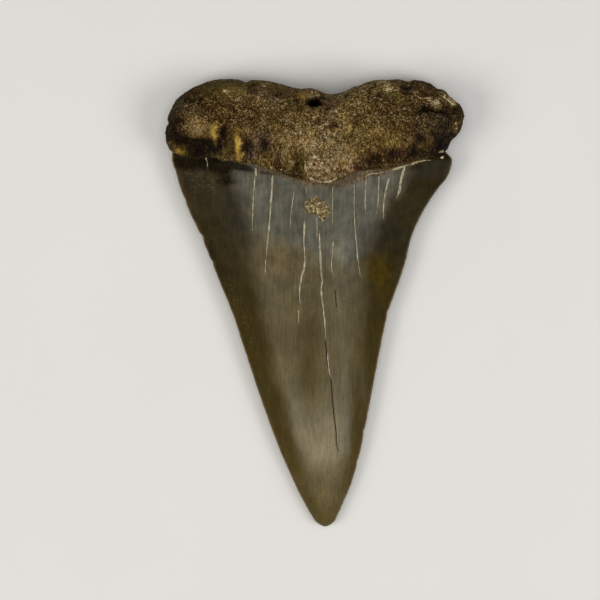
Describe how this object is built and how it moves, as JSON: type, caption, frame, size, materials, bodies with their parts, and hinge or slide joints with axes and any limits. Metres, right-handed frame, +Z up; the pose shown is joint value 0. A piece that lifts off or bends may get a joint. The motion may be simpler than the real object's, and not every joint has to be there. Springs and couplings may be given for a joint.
{
  "type": "fossil mako shark tooth",
  "caption": "Fossil shark tooth: a flat-backed triangular enamel blade on a thick, porous, two-lobed root, with crusts of sediment; lies on its flat side.",
  "frame": {"origin": "on the resting surface, below the centre of the tooth's bounding box as it lies", "axes": "+Z up out of the rounded lingual face, +Y from the crown's tip towards the root, +X to the right seen from above with the root away from the viewer"},
  "size_m": [0.0428, 0.064, 0.0123],
  "materials": {
    "tooth": "satin",
    "enamel": "satin",
    "root_bone": "matte",
    "sediment": "matte"
  },
  "bodies": {
    "root": {"tooth": "tooth"}
  },
  "joints": []
}
